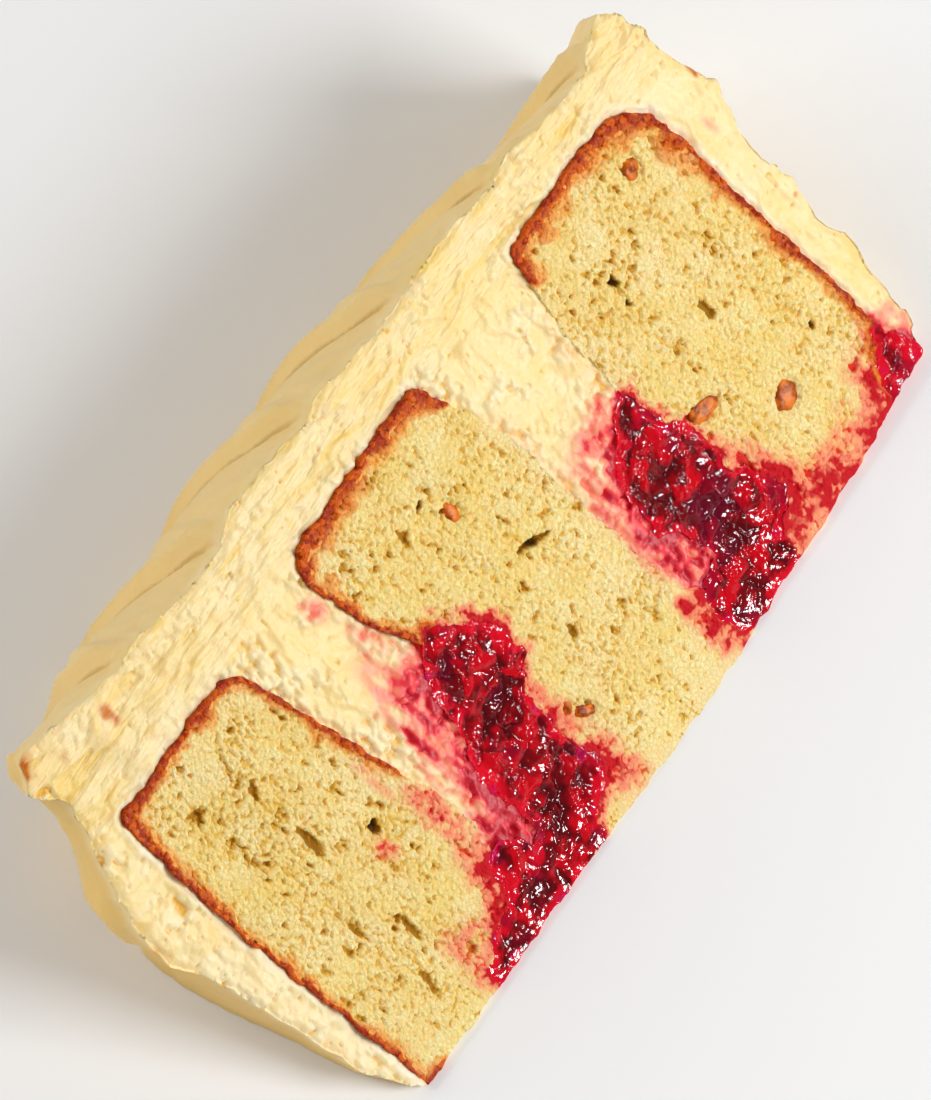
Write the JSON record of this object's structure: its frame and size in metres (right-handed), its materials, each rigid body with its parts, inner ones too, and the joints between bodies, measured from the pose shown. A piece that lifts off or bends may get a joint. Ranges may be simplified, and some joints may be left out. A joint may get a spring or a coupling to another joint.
{
  "type": "slice of pistachio layer cake",
  "caption": "Slice of a tall pistachio layer cake lying on its side, with sponge layers, raspberry jam fillings and a buttercream coat.",
  "frame": {"origin": "middle of the base, on the lower cut face that the slice lies on", "axes": "+Z is up, +Y runs up through the cake's layers, -X is outwards to the buttercream coat and +X towards the slice's tip"},
  "size_m": [0.0902, 0.174, 0.0563],
  "materials": {
    "sponge_bottom": "matte, open crumb with a brown crust",
    "sponge_middle": "matte, open crumb with a brown crust",
    "sponge_top": "matte, open crumb with a brown crust",
    "buttercream": "smooth satin with spatula marks",
    "jam_lower": "wet gloss",
    "jam_upper": "wet gloss",
    "jam_top": "wet gloss"
  },
  "bodies": {
    "root": {"sponge_bottom": "sponge_bottom", "sponge_middle": "sponge_middle", "sponge_top": "sponge_top", "buttercream": "buttercream", "jam_lower": "jam_lower", "jam_upper": "jam_upper", "jam_top": "jam_top"}
  },
  "joints": []
}
